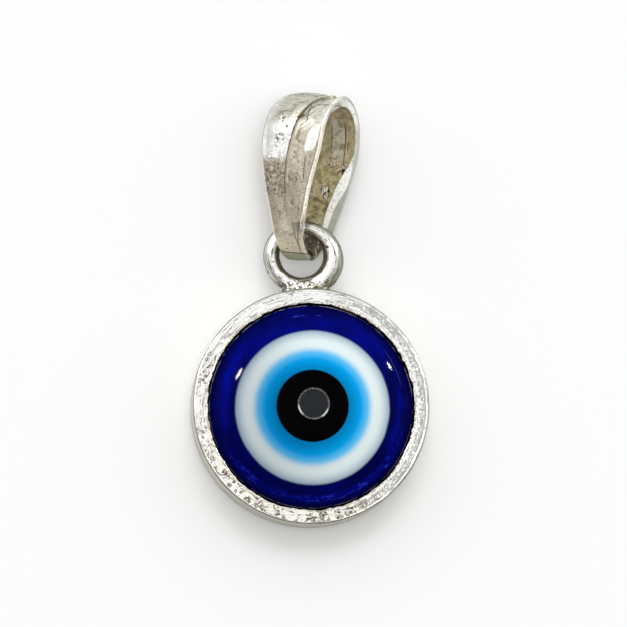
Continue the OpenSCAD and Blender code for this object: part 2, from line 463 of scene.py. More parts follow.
inner_wall = radius.rise(MOUTH + 0.05, MOUTH) * z.rise(CUP_HEIGHT - 0.08, CUP_HEIGHT - 0.2)
toned = layered(
    bare,
    (mottles.rise(0.0, 1.0) * face, MOTTLE_SILVER),
    (marks * (1 - near_side * 0.6) * 0.95 * face, LILAC_SILVER),
    (tan * 0.6 * face, TAN_SOIL),
    ((groove * 0.7 + outline * 0.9).rise(0, 1), EDGE_SILVER),
    ((deep + cracks).rise(0, 1) * face, SOIL),
    # painted shade: the cup's side wall darker and warmer
    (wall * (0.7 + 0.3 * broad), SHADED_WALL_SILVER),
    (inner_edge * 0.9, left_cluster.mix(TAN_SOIL, SOIL)),
    (inner_wall, SHADOW_SOIL),
)
finish_surface(
    nodes,
    strokes * 0.5 + small * 0.35 + chips * 0.5 - deep * 0.5 - loops * right_side * 0.15,
    0.04,
    toned,
    0.2 + 0.25 * (mottles * 0.6 + deep) * face + 0.15 * wall,
    metallic=1.0,
)
cup = make_piece("cup", cup_points, ring_faces(len(cup_outline), CUP_TURNS), cup_silver)
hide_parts("setting")
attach(cup, "root")

# The glass eye. It is one fused bead of opaque glass in four colours: a deep cobalt body with
# a white ring, a light blue ring and a black pupil laid on it while it was soft. It stands on
# the cup's floor. A small round flat in the pupil is where the glass rod was broken off.
GLASS_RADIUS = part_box("cobalt_glass")[1].x / MM
CROWN = 4.45
DOME_RISE = 1.6
DOME_RADIUS = (GLASS_RADIUS ** 2 + DOME_RISE ** 2) / (2 * DOME_RISE)
EYE_MIDDLE = -0.15
PUPIL_MIDDLE = -0.1
WHITE_RADIUS = 9.05 / 2
BLUE_RADIUS = 6.55 / 2
PUPIL_RADIUS = 4.25 / 2
ROLLED_FROM = 5.3
ROLLED_DROP = 0.22
FLAT_RADIUS = 0.9
FLAT_PLACE = (0.06, 0.02)
FLAT_DEPTH = 0.035
FLAT_EDGE = 0.06
LIP_OUT = 0.02
LIP_WIDTH = 0.035
LIP_RISE = 0.012
GLASS_TURNS = 256


def dome_height(x, y):
    """Height of the glass: part of a ball, rolled over at its edge, with the small flat."""
    reach = np.hypot(x, y)
    ball = CROWN - DOME_RADIUS + np.sqrt(DOME_RADIUS ** 2 - reach ** 2)
    rolled = np.clip((reach - ROLLED_FROM) / (GLASS_RADIUS - ROLLED_FROM), 0, 1)
    from_flat = np.hypot(x - FLAT_PLACE[0], y - FLAT_PLACE[1])
    sunk = 1 - step(from_flat, FLAT_RADIUS - FLAT_EDGE, FLAT_RADIUS)
    lip = np.exp(-(((from_flat - FLAT_RADIUS - LIP_OUT) / LIP_WIDTH) ** 2))
    return ball - ROLLED_DROP * rolled ** 3 - FLAT_DEPTH * sunk + LIP_RISE * lip


def glass_ring(radius, middle, bottom=None):
    """Points once round: on the top of the dome, or at the bottom if it is given."""
    across = middle[0] + radius * np.cos(circle(GLASS_TURNS))
    along = middle[1] + radius * np.sin(circle(GLASS_TURNS))
    height = dome_height(across, along) if bottom is None else np.full(GLASS_TURNS, bottom)
    return np.stack([across, along, height], 1)


def glass_points(inner, outer, inner_at, outer_at, bottom, rows):
    """Rings of a piece of the dome between two radii: its top, then down to its bottom."""
    rings = []
    for share in np.linspace(0, 1, rows):
        middle = np.array(inner_at) * (1 - share) + np.array(outer_at) * share
        rings.append(glass_ring(inner + (outer - inner) * share, middle))
    rings.append(glass_ring(outer, outer_at, bottom))
    rings.append(glass_ring(inner, inner_at, bottom))
    return np.concatenate(rings), len(rings)


COBALT = (0.0006, 0.0012, 0.06)
BRIGHT_COBALT = (0.0006, 0.004, 0.34)
REFLECTION_BLUE = (0.05, 0.07, 0.6)
SHADED_EDGE_COBALT = (0.0004, 0.0006, 0.018)
EDGE_HIGHLIGHT_GREY = (0.42, 0.42, 0.45)
WHITE = (0.71, 0.81, 0.825)
SHADED_WHITE = (0.24, 0.345, 0.45)
SKY_BLUE = (0.11, 0.5, 0.84)
LIGHT_BLUE = (0.001, 0.33, 0.78)
DEEP_BLUE = (0.0005, 0.21, 0.5)
BLACK = (0.0006, 0.0006, 0.0008)
FLAT_GREY = (0.024, 0.026, 0.03)
LIP_HIGHLIGHT_GREY = (0.17, 0.175, 0.18)
LIP_GLINT_LEFT = (FLAT_PLACE[0] - 0.85, FLAT_PLACE[1] - 0.35)
LIP_GLINT_RIGHT = (FLAT_PLACE[0] + 0.68, FLAT_PLACE[1] - 0.62)


def apart(x, y, middle):
    """How far the place x, y of a material is from this middle."""
    across, along = x - middle[0], y - middle[1]
    return (across * across + along * along) ** 0.5


def glass_material(name):
    """Glossy fused glass. All its colours are drawn by their distance from the eye's middle."""
    material, nodes, place = new_material(name)
    x, y, _ = place.parts()
    from_cup = apart(x, y, (0, 0))
    from_eye = apart(x, y, (0.02, EYE_MIDDLE))
    from_pupil = apart(x, y, (0, PUPIL_MIDDLE))
    from_flat = apart(x, y, FLAT_PLACE)
    rightness, farness = x / from_cup, y / from_cup
    around = nodes.joined(from_cup, rightness * 1.6, farness * 1.6)
    clouds = around.grain(0.5, 3, 0.55, 0.6)
    streaks = around.grain(0.24, 2, 0.55, 1.2)
    specks = place.grain(0.11, 2, 0.6)

    # painted light: the cobalt glows brighter towards its left, right and far edges
    toward_left = farness * 0.3 - rightness * 0.95
    toward_right = rightness * 0.97 - farness * 0.2
    painted_left_glow = toward_left.rise(0.8, 0.97) * from_cup.between(5.0, 5.45, 0.3)
    painted_right_glow = toward_right.rise(0.88, 0.98) * from_cup.between(5.05, 5.3, 0.2)
    painted_far_glow = farness.rise(0.1, 0.8) * from_cup.rise(5.8, 5.0)
    glow = painted_left_glow * 0.9 + painted_right_glow * 0.45 + painted_far_glow * 0.3
    # painted reflections: a mottled pale band on the near side, a dash at the far edge and an arc
    # at the right
    painted_near_reflection = farness.rise(-0.2, -0.7) * from_cup.between(5.35, 5.68, 0.12)
    painted_far_reflection = (from_cup - 5.35).line(0.1) * farness.rise(0.985, 0.995) * streaks.rise(0.4, 0.55)
    painted_right_reflection = (from_cup - 5.42).line(0.09) * (rightness * 0.93 + farness * 0.37).rise(0.97, 0.99)
    # painted highlight: a thin pale line along the glass's edge, stronger on the far side
    painted_edge_highlight = (from_cup + (specks - 0.5) * 0.05 + farness.rise(0.1, 0.6) * 0.04 - 6.0).line(0.07)
    painted_edge_highlight = painted_edge_highlight * (0.35 + 0.65 * farness.rise(-0.35, 0.1))
    cobalt = layered(
        COBALT,
        (glow * (0.55 + 0.9 * clouds.rise(0.3, 0.7)), BRIGHT_COBALT),
        (clouds.rise(0.5, 0.75) * 0.25, BRIGHT_COBALT),
        (painted_near_reflection * (0.25 + 0.75 * streaks.rise(0.45, 0.65)), BRIGHT_COBALT),
        (painted_near_reflection * (streaks * specks * 4).rise(1.1, 1.7) * 0.6, REFLECTION_BLUE),
        (painted_far_reflection * 0.7 + painted_right_reflection * 0.25, REFLECTION_BLUE),
        # painted shade: the glass darkens where it goes under the rim
        (from_cup.rise(5.95, 6.02), SHADED_EDGE_COBALT),
        (painted_edge_highlight * streaks.rise(0.38, 0.55), EDGE_HIGHLIGHT_GREY),
    )

    in_eye = from_eye + (clouds - 0.5) * 0.06
    # painted shade: the eye's rings darker on their left side
    painted_shade_side = (rightness * -0.98 - farness * 0.17).rise(-0.4, 1.0)
    white = in_eye.rise(3.85, 4.75).mix(WHITE, SHADED_WHITE)
    on_flat = from_flat.rise(FLAT_RADIUS + 0.01, FLAT_RADIUS - 0.05)
    # painted highlights: a pale line round the flat's lip, with two bright glints on it
    lip = (from_flat - FLAT_RADIUS + 0.01).line(0.14)
    painted_lip_glints = apart(x, y, LIP_GLINT_LEFT).rise(0.42, 0.15)
    painted_lip_glints = painted_lip_glints.math("MAXIMUM", apart(x, y, LIP_GLINT_RIGHT).rise(0.4, 0.15))
    painted = layered(
        cobalt,
        (in_eye.rise(WHITE_RADIUS + 0.09, WHITE_RADIUS - 0.07), white),
        (in_eye.rise(3.66, 3.16), SKY_BLUE),
        (in_eye.rise(3.32, 2.75), LIGHT_BLUE),
        (from_eye.rise(2.95, 2.15), DEEP_BLUE),
        (painted_shade_side * 0.28, COBALT),
        (from_pupil.rise(PUPIL_RADIUS + 0.05, PUPIL_RADIUS - 0.04), BLACK),
        (on_flat * (0.6 + 0.6 * clouds), FLAT_GREY),
        (lip * (0.3 + 0.7 * specks.rise(0.4, 0.6)), LIP_HIGHLIGHT_GREY),
        (lip * painted_lip_glints * 0.75, WHITE),
    )
    height = clouds * 0.4 + specks * on_flat
    finish_surface(nodes, height, 0.003, painted, 0.04 + 0.3 * on_flat, shine=0.013)
    return material


CUP_MIDDLE = (0, 0)
EYE_PLACE = (0, EYE_MIDDLE)
pieces = (
    ("pupil_glass", "black_glass", 0.02, PUPIL_RADIUS, FLAT_PLACE, EYE_PLACE, 96),
    ("blue_glass", "light_blue_glass", PUPIL_RADIUS, BLUE_RADIUS, EYE_PLACE, EYE_PLACE, 14),
    ("white_glass", "white_glass", BLUE_RADIUS, WHITE_RADIUS, EYE_PLACE, EYE_PLACE, 14),
    ("cobalt_glass", "cobalt_glass", WHITE_RADIUS, GLASS_RADIUS, EYE_PLACE, CUP_MIDDLE, 24),
)
for node, slot, inner, outer, inner_at, outer_at, rows in pieces:
    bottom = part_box(node)[0].z / MM
    points, rings = glass_points(inner, outer, inner_at, outer_at, bottom, rows)
    closed = node != "pupil_glass"
    faces = ring_faces(rings, GLASS_TURNS, closed)
    glass = make_piece("eye_" + node, points, faces, glass_material("eye_" + node))
    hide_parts(node)
    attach(glass, "root")

# The soldered ring. It is a closed ring of thick round silver wire, a little oval from being
# bent by hand, that stands on a rough bright lump of solder against the cup's wall. Its inner
# side is painted dark as shade.
WIRE = 1.06
RING_HOLE = 2.5
WIRE_SINK = 0.43
RING_SIDE = 0.09
RING_TILT = radians(8)
RING_ROLL = radians(7.5)
AXIS_HEIGHT = 2.166
RING_DROP = 0.2
RING_MIDDLE = np.array([
    RING_SIDE,
    CUP_RADIUS - WIRE_SINK + WIRE + RING_HOLE / 2,
    AXIS_HEIGHT - RING_DROP,
])
OVAL_LENGTH = 2.42
OVAL_WIDTH = 2.2
OVAL_SIDE = radians(-23)
HOLE_RADIUS = 1.29
HOLE_SHIFT = (-0.11, 0.16)
WIRE_TURNS = 120
WIRE_POINTS = 32
LUMP_ROWS = 14
LUMP_POINTS = 24
VOXEL = 0.045
SMOOTHINGS = 8
WIRE_DENTS = ((0.012, 0.7, 7), (0.006, 0.22, 8))
WIRE_WORN = 0.006
SOLDER_DENTS = ((0.045, 0.35, 9), (0.03, 0.16, 10))


def turn(axis, angle):
    """A turn about an axis of the frame, for points in rows."""
    return np.array(Matrix.Rotation(angle, 3, axis)).T


def wire_reach(a):
    """The wire's middle and half its thickness, from its oval outside and its round hole."""
    length_part = OVAL_WIDTH * np.cos(a - OVAL_SIDE)
    width_part = OVAL_LENGTH * np.sin(a - OVAL_SIDE)
    outside = OVAL_LENGTH * OVAL_WIDTH / np.hypot(length_part, width_part)
    toward = HOLE_SHIFT[0] * np.cos(a) + HOLE_SHIFT[1] * np.sin(a)
    aside = HOLE_SHIFT[0] * np.sin(a) - HOLE_SHIFT[1] * np.cos(a)
    hole = toward + np.sqrt(HOLE_RADIUS ** 2 - aside ** 2)
    return (outside + hole) / 2, (outside - hole) / 2


def wire_ring_points():
    rings = []
    for a in circle(WIRE_TURNS):
        middle_reach, thick = wire_reach(a)
        out = middle_reach + thick * np.cos(circle(WIRE_POINTS))
        up = thick * np.sin(circle(WIRE_POINTS))
        rings.append(np.stack([out * cos(a), out * sin(a), up], 1))
    return np.concatenate(rings) @ turn("Y", -RING_ROLL) @ turn("X", RING_TILT) + RING_MIDDLE


def lump_points(place, size):
    """A rounded lump of solder."""
    points = []
    for tip in np.linspace(-pi / 2 + 0.05, pi / 2 - 0.05, LUMP_ROWS):
        across = cos(tip) * np.cos(circle(LUMP_POINTS))
        along = cos(tip) * np.sin(circle(LUMP_POINTS))
        level = np.full(LUMP_POINTS, sin(tip))
        points.append(np.stack([across, along, level], 1) * np.array(size) / 2)
    return np.concatenate(points) + np.array(place)


# The lumps of solder, each with its place and its size
LUMPS = (
    ((0.1, 7.02, 1.75), (2.3, 0.9, 1.15)),
    ((-0.85, 6.92, 1.7), (0.9, 0.8, 1.0)),
    ((1.05, 6.95, 1.8), (1.1, 0.8, 1.1)),
    ((0.45, 7.25, 2.05), (1.2, 0.7, 0.8)),
)
parts = [(wire_ring_points(), ring_faces(WIRE_TURNS, WIRE_POINTS, True))]
parts += [(lump_points(*lump), ring_faces(LUMP_ROWS, LUMP_POINTS)) for lump in LUMPS]
points, faces = [], []
for part_points, part_faces in parts:
    faces += [tuple(i + len(points) for i in face) for face in part_faces]
    points += part_points.tolist()
rough_mesh = bpy.data.meshes.new("soldered_ring_rough")
rough_mesh.from_pydata(points, [], faces)
face_outward(rough_mesh)
rough = add("soldered_ring_rough", rough_mesh)
fused = rough.modifiers.new("fused", "REMESH")
fused.mode = "VOXEL"
fused.voxel_size = VOXEL
smoothed = rough.modifiers.new("smoothed", "SMOOTH")
smoothed.factor = 0.5
smoothed.iterations = SMOOTHINGS
settled = rough.evaluated_get(bpy.context.evaluated_depsgraph_get())
ring_mesh = bpy.data.meshes.new_from_object(settled)
bpy.data.objects.remove(rough)
ring_points = np.array([v.co for v in ring_mesh.vertices])
ring_normals = np.array([v.normal for v in ring_mesh.vertices])
near_cup = 1 - step(ring_points[:, 1], 7.2, 7.8)
dents = uneven(ring_points, WIRE_DENTS) - WIRE_WORN
dents += near_cup * uneven(ring_points, SOLDER_DENTS)
ring_points += ring_normals * dents[:, None]
fused_faces = [tuple(face.vertices) for face in ring_mesh.polygons]
laid_flat = (ring_points - RING_MIDDLE) @ turn("X", -RING_TILT) @ turn("Y", RING_ROLL)
across, along = laid_flat[:, 0], laid_flat[:, 1]
middle_reach, thick = wire_reach(np.arctan2(along, across))
inward = (middle_reach - np.hypot(across, along)) / thick
ring_place = np.stack([inward, across, along], 1)

DARK_SOIL_AND_SHADE = (0.07, 0.055, 0.03)
SHADED_OLIVE = (0.26, 0.24, 0.14)
DARK_EDGE = (0.2, 0.205, 0.16)
GREENISH = (0.41, 0.425, 0.335)
RING_PITS = ((1.46, 0.6), (-2.15, -0.74), (-0.56, -1.76), (0.34, -1.58), (2.24, 0.62), (0.1, -1.9))

ring_silver, nodes, place = new_material("ring_silver")
inward_share, ring_x, ring_y = nodes.stored("ring_place", "Vector").parts()
ring_reach = (ring_x * ring_x + ring_y * ring_y) ** 0.5
rightness, farness = ring_x / ring_reach, ring_y / ring_reach
ring_right = rightness.rise(-0.2, 0.5)
lump_zone = ring_y.rise(-1.3, -1.6)
drawn = nodes.joined(inward_share * 0.45, rightness * 0.35, farness * 0.35).grain(0.12, 3, 0.6, 0.3)
clouds = place.grain(0.7, 3, 0.6)
fine = place.grain(0.1, 3, 0.6)
lumps = place.grain(0.3, 3, 0.6)
specks = place.grain(0.2, 2, 0.5, 0.5).rise(0.64, 0.72)
wander = (clouds - 0.5) * 0.35
inner_share = inward_share + wander * 1.2 + rightness.math("ABSOLUTE") * 0.31
# painted shade: the wire's inner side dark, with an olive fringe
shaded_inner_side = inner_share.rise(0.8, 0.9)
shaded_inner_fringe = inner_share.rise(0.66, 0.8)
outer_share = inward_share * -1 + wander * 0.6
outer_side = outer_share.rise(0.35, 0.6)
scratch = (outer_share - 0.3).line(0.15) * (0.4 + 0.6 * lumps.rise(0.4, 0.6))
rim_line = (inward_share * -1 + wander * 0.2).rise(0.74, 0.9)
crevices = (lumps - 0.55).line(0.09) + (clouds - 0.52).line(0.05) * 0.7
toned = layered(
    SILVER,
    (clouds.rise(0.45, 0.75) * 0.2 + drawn.rise(0.54, 0.64) * 0.75, GREYISH),
    (drawn.rise(0.6, 0.66) * 0.9, DARK_EDGE),
    (outer_side * (0.55 + 0.45 * ring_right), GREENISH),
    ((scratch + rim_line).rise(0, 1), DARK_EDGE),
    (lump_zone * lumps.rise(0.48, 0.56) * 0.5, GREENISH),
    (ring_y.rise(-1.2, -1.5) * crevices, DARK_SOIL_AND_SHADE),
    (shaded_inner_fringe * 0.85, SHADED_OLIVE),
    (shaded_inner_side * (0.75 + 0.25 * fine.rise(0.4, 0.6)), DARK_SOIL_AND_SHADE),
)
pits = specks * 0.7
for pit in RING_PITS:
    pits = pits.math("MAXIMUM", apart(ring_x, ring_y, pit).rise(0.12, 0.05))
finish_surface(
    nodes,
    lumps * (0.7 + lump_zone) + drawn * 0.5 + fine * 0.2 - pits * 0.8,
    0.03,
    pits.mix(toned, SOIL),
    0.18 + 0.25 * pits + 0.14 * clouds + 0.2 * shaded_inner_fringe,
    1.0 - 0.5 * shaded_inner_fringe - 0.4 * lump_zone * outer_side * ring_right,
)
soldered_ring = make_piece("soldered_ring", ring_points, fused_faces, ring_silver)
store(soldered_ring, "ring_place", ring_place, "FLOAT_VECTOR")
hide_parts("setting")
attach(soldered_ring, "root")

# The bail. It is one strip of cast silver, wide at the crest and narrow at the foot, bent into
# a closed loop that hangs loose in the ring. A crisp fold runs down its front: the left side
# swells as a polished band, the right side is hollow, and below the crest the metal is dull.
BAIL_LENGTH = 9.6
BAIL_WIDTH = 4.2
BAIL_DEPTH = 4.2
STRIP = 0.5
BAND_HEIGHT = 0.2
LIP_HEIGHT = 0.12
HOLLOW_DEPTH = 0.04
FOLD_STEP = 0.08
FOOT_WIDTH = RING_HOLE - 0.9
FOOT_DEPTH = WIRE + 2 * STRIP + 1.95
BAIL_FOOT = 8.77
BAIL_ROLL = radians(33.8)
BAIL_PITCH = radians(4.5)
BAIL_LEAN = radians(6.4)

# Stations from the crest down the front, round the foot and up the back. The columns are the
# height and half depth as shares, the width's share from foot to crest, the thickness, the
# shift sideways, the twist in degrees, the fold's place across, the share of the relief, how
# crisp the fold is, and the width and height of the cut along the right edge.
UP, OUT, WIDE, THICK, SHIFT, TWIST, FOLD, RELIEF, CRISP, CUT, RIDGE = range(11)
LOOP = np.array([
    [1, 0, 0.96, 1, 0.065, 0, 0.8, 1.5, 0.7, 0, 0],
    [0.955, 0.6, 0.95, 1, 0.05, 0, 0.66, 1.2, 1, 0.1, 0],
    [0.84, 0.98, 0.97, 1, 0.032, 0, 0.54, 1, 1, 0.24, 0],
    [0.67, 1.01, 0.92, 1, -0.01, 0, 0.48, 1, 1, 0.26, 0],
    [0.47, 1, 0.63, 1, -0.03, 0, 0.46, 0.9, 0.9, 0.22, 0],
    [0.28, 0.99, 0.34, 1, -0.01, 0, 0.46, 0.7, 0.4, 0.16, 0],
    [0.1, 0.86, 0.1, 1, 0, 0, 0.6, 0.5, 0.2, 0.08, 0],
    [0, 0, 0, 1.1, -0.03, 0, 0.8, 0.2, 0, 0, 0],
    [0.1, -0.86, 0.05, 1.15, -0.01, -4, 0.8, 0, 0, 0.34, 0.15],
    [0.28, -0.99, 0.32, 1.3, 0.06, -8, 0.8, 0, 0, 0.5, 0.32],
    [0.47, -1, 0.66, 1.3, 0.085, -7, 0.8, 0, 0, 0.42, 0.26],
    [0.67, -1.01, 0.89, 1.1, 0.063, 0, 0.8, 0, 0, 0, 0],
    [0.84, -0.98, 0.97, 1, 0.043, 0, 0.8, 0.2, 0, 0, 0],
    [0.955, -0.6, 0.97, 1, 0.05, 0, 0.8, 0.6, 0.4, 0, 0],
])
STATIONS = len(LOOP)
STEPS = 28
BAND_POINTS = 30
STEP_POINTS = 6
HOLLOW_POINTS = 28
INSIDE_POINTS = 34
EDGE_POINTS = 20
EDGE_ROUND = 0.07
OUTER_ROUND = 0.9
RIDGE_WIDTH = 0.22
FLANK_END = 0.45
CUT_FROM = 0.42
CUT_TO = 0.85
NEARBY = 0.02
REST_GAP = 0.012
STRIP_WAVES = ((0.02, 1.3, 11), (0.005, 0.35, 12))
INSIDE_WAVES = ((0.02, 0.5, 13),)


def station(s):
    """The columns of the table at a place between two stations, on a smooth curve."""
    i = floor(s)
    f = s - i
    a, b, c, d = (LOOP[(i + k) % STATIONS] for k in (-1, 0, 1, 2))
    return (
        b
        + f / 2 * (c - a)
        + f * f / 2 * (2 * a - 5 * b + 4 * c - d)
        + f ** 3 / 2 * (3 * b - a - 3 * c + d)
    )


def strip_middle(s):
    """Middle of the strip's thickness, along the loop and through its depth."""
    row = station(s)
    depth = FOOT_DEPTH + (BAIL_DEPTH - FOOT_DEPTH) * row[UP]
    return np.array([
        STRIP / 2 + row[UP] * (BAIL_LENGTH - STRIP),
        row[OUT] * (depth - STRIP) / 2,
    ])


def relief_height(x, fold, fold_step, crisp):
    """The swelling band, its steep right side at the fold, the hollow and the raised lip."""
    u = np.clip(x / fold, 0, 1)
    flank = 1 - (1 - np.minimum(u / FLANK_END, 1)) ** 2
    soft_end = np.sin(pi * np.clip(u, 0.5, 1))
    firm_end = 1 - 0.25 * step(u, 0.5, 1)
    band = BAND_HEIGHT * flank ** 0.7 * (crisp * firm_end + (1 - crisp) * soft_end)
    v = np.clip((x - fold - fold_step) / (1 - fold - fold_step), 0, 1)
    hollow = LIP_HEIGHT * step(v, 0.55, 0.93) - HOLLOW_DEPTH * crisp
    past = step(x, fold, fold + fold_step)
    return band * (1 - past) + hollow * past


def strip_section(row):
    """The strip cut across: places across and out, places from its fold and its two edges,
    how far each point is on the inside, and how far on the cut along the right edge."""
    width = FOOT_WIDTH + (BAIL_WIDTH - FOOT_WIDTH) * row[WIDE]
    thick = STRIP * row[THICK]
    fold, fold_step = row[FOLD], FOLD_STEP / width
    cut, ridge = max(row[CUT], 0), max(row[RIDGE], 0)
    corner = EDGE_ROUND + OUTER_ROUND * ridge
    x = np.concatenate([
        np.linspace(0, fold, BAND_POINTS),
        np.linspace(fold, fold + fold_step, STEP_POINTS)[1:],
        np.linspace(fold + fold_step, 1, HOLLOW_POINTS)[1:],
    ])
    across = (EDGE_ROUND + x * (width - EDGE_ROUND - corner)) / width
    outer = thick / 2 + row[RELIEF] * relief_height(x, fold, fold_step, row[CRISP])
    q = (1 - np.cos(np.linspace(0, pi, EDGE_POINTS + 2)[1:-1])) / 2
    before_cut = np.clip((CUT_FROM - q) / CUT_FROM, 0, 1)
    after_cut = np.clip((q - CUT_TO) / (1 - CUT_TO), 0, 1)
    in_from_side = corner * (1 - np.sqrt(1 - before_cut ** 2))
    in_from_side += EDGE_ROUND * (1 - np.sqrt(1 - after_cut ** 2))
    on_cut = np.clip((q - CUT_FROM) / (1 - CUT_FROM), 0, 1)
    right_side = 1 - (in_from_side + cut * on_cut) / width
    bend = np.linspace(pi / 2, -pi / 2, EDGE_POINTS + 2)[1:-1]
    rise = (np.sin(bend[::-1]) + 1) / 2
    left_side = EDGE_ROUND * (1 - np.cos(bend) ** 0.5) / width
    inner = np.linspace(1 - (EDGE_ROUND + cut) / width, EDGE_ROUND / width, INSIDE_POINTS)
    from_ridge = (inner[0] - inner) * width
    raised = ridge * (1 - step(from_ridge, 0, RIDGE_WIDTH))
    outs = np.concatenate([
        outer,
        outer[-1] - (outer[-1] + thick / 2 + ridge) * q,
        -thick / 2 - raised,
        -thick / 2 + (outer[0] + thick / 2) * rise,
    ])
    shares = np.concatenate([across, right_side, inner, left_side])
    inside = np.concatenate([0 * outer, 0 * q, np.ones(INSIDE_POINTS), 1 - rise])
    cut_start = step(q, CUT_FROM - 0.12, CUT_FROM + 0.03)
    cut_share = np.concatenate([0 * outer, cut_start, 0 * inner, 0 * rise])
    places = np.stack([shares - fold, shares, 1 - shares], 1) * width
    return (shares - 0.5) * width, outs, places, inside, cut_share


slices = []
for s in np.arange(STATIONS * STEPS) / STEPS:
    row = station(s)
    place = strip_middle(s)
    way = strip_middle(s + NEARBY) - strip_middle(s - NEARBY)
    out = np.array([way[1], -way[0]]) / np.linalg.norm(way)
    across, outs, places, inside, on_cut = strip_section(row)
    twist = radians(row[TWIST])
    side = across * cos(twist) - outs * sin(twist) + row[SHIFT] * BAIL_WIDTH
    lift = across * sin(twist) + outs * cos(twist)
    points = np.stack([side, place[0] + out[0] * lift, place[1] + out[1] * lift], 1)
    slices.append((points, places, inside, on_cut))
bail_faces = ring_faces(len(slices), len(points), True)
bail_points, edge_places, inside_share, cut_share = map(np.concatenate, zip(*slices))
strip_place = bail_points.copy()

# Pits on the front, as places across and along the loop, their width and depth
PITS = (
    (-0.75, 8.48, 0.12, 0.04), (-0.66, 8.22, 0.14, 0.06), (-0.62, 8.05, 0.12, 0.05),
    (-0.3, 7.71, 0.15, 0.06), (-0.71, 7.2, 0.12, 0.03), (-0.84, 6.94, 0.17, 0.05),
    (-0.78, 6.72, 0.1, 0.03), (-0.45, 6.88, 0.1, 0.02), (0.51, 6.85, 0.17, 0.04),
    (0.25, 6.19, 0.13, 0.03), (0.2, 5.89, 0.15, 0.03), (1.34, 5.99, 0.15, 0.03),
    (-0.08, 4.73, 0.12, 0.04), (0.41, 4.67, 0.13, 0.05), (-0.87, 3.92, 0.16, 0.04),
    (-0.31, 4.11, 0.14, 0.04), (-0.5, 4.17, 0.14, 0.04), (-0.34, 3.81, 0.15, 0.04),
    (0.25, 3.19, 0.22, 0.05), (-0.47, 2.51, 0.15, 0.04),
)
front = (bail_points[:, 2] > 0.2) & (inside_share < 0.5)
pitted = np.zeros(len(bail_points))
for across, along, width, depth in PITS:
    away = np.hypot(bail_points[:, 0] - across, bail_points[:, 1] - along)
    here = front * np.exp(-((away / (width / 2)) ** 2))
    bail_points[:, 2] -= depth * here
    pitted = np.maximum(pitted, here)
wobble = uneven(strip_place, STRIP_WAVES)
rough_inside = uneven(strip_place, INSIDE_WAVES) * inside_share
direction = np.sign(bail_points[:, 2]) * (1 - 2 * inside_share)
bail_points[:, 2] += direction * wobble * 0.8 + rough_inside

placed = bail_points @ turn("Y", -BAIL_ROLL) @ turn("X", BAIL_PITCH) @ turn("Z", -BAIL_LEAN)
placed += np.array([0, BAIL_FOOT, AXIS_HEIGHT])
placed[:, 2] = np.maximum(placed[:, 2], REST_GAP)

TAUPE = (0.55, 0.5, 0.405)
DARK_TAUPE = (0.25, 0.215, 0.155)
FOOT_TAUPE = (0.8, 0.71, 0.55)
CREST_SILVER = (0.52, 0.515, 0.42)
PALE_CREST = (0.78, 0.78, 0.7)
CREST_SHADE = (0.2, 0.195, 0.13)
FOLD_OLIVE = (0.13, 0.125, 0.075)
CREAM = (0.92, 0.88, 0.76)
OLIVE = (0.5, 0.44, 0.24)
GOLDEN = (0.6, 0.52, 0.25)
GREY_INSIDE = (0.68, 0.66, 0.56)
PALE_GOLD = (0.9, 0.83, 0.6)
PINK = (0.54, 0.41, 0.28)
BROWN = (0.2, 0.15, 0.075)
RED_BROWN = (0.24, 0.14, 0.1)
FOLD_BROWN = (0.1, 0.065, 0.04)
DEEP_BROWN = (0.055, 0.03, 0.018)
DARK_GREY = (0.13, 0.13, 0.115)
FOOT_GREEN = (0.4, 0.42, 0.3)
CUT_SILVER = (1.0, 0.99, 0.96)

bail_silver, nodes, place = new_material("bail_silver")
strip = nodes.stored("strip_place", "Vector")
across, along, depth = strip.parts()
stretch = along.between  # a stretch of the bail's length, up from its foot
from_fold, from_left, from_right = nodes.stored("edge_places", "Vector").parts()
inside = nodes.stored("inside")
on_cut = nodes.stored("on_cut")
pit = nodes.stored("pitted")
fine = strip.grain(0.1, 3, 0.65, 0.3)
clouds = strip.grain(0.7, 3, 0.6)
lumps = strip.grain(0.3, 3, 0.6, 0.4)
soiled = strip.grain(0.22, 3, 0.6, 0.8)
specks = strip.grain(0.13, 2, 0.55, 0.5).rise(0.59, 0.68)
grit = (strip.grain(0.2, 2, 0.55, 1.5) - 0.5).line(0.05)
streaks = nodes.joined(across * 0.2, along, depth).grain(0.16, 3, 0.6, 1.2)
hatching = nodes.joined((from_fold + along) * 0.15, from_fold - along).grain(0.16, 2, 0.6)
wander = (lumps - 0.5) * 0.9 + (fine - 0.5) * 0.7
ragged = along + wander

# Where the strip's front and rear are, the hollow with its bright patch, the shaded crest, and
# the dull metal below it and in the hollow
outside = inside.rise(0.55, 0.35)
front = depth.rise(0.1, 0.5) * outside
rear = depth.rise(-0.1, -0.5) * outside
flat_front = front * (1 - on_cut)
in_hollow = from_fold.rise(0.02, 0.1)
patch = (from_fold - (along - 7.2).rise(0, 1) * 0.3 + wander * 0.2).rise(0.75, 1.25)
patch = patch * (from_right - (7.0 - along).rise(0, 0.7) * 0.22).rise(0.1, 0.3)
patch = patch * (along + wander * 0.15).rise(6.2, 6.45) * along.rise(8.6, 8.1)
crest = (along + wander * 1.3).rise(7.6, 8.4)
outer_crest = crest * outside
dull_below = (along + wander * 1.5).rise(6.0, 5.6)
dull = (dull_below + in_hollow * (1 - patch)).rise(0.0, 0.8) * (1 - crest) * flat_front
dull = dull * from_left.rise(0.05, 0.18)

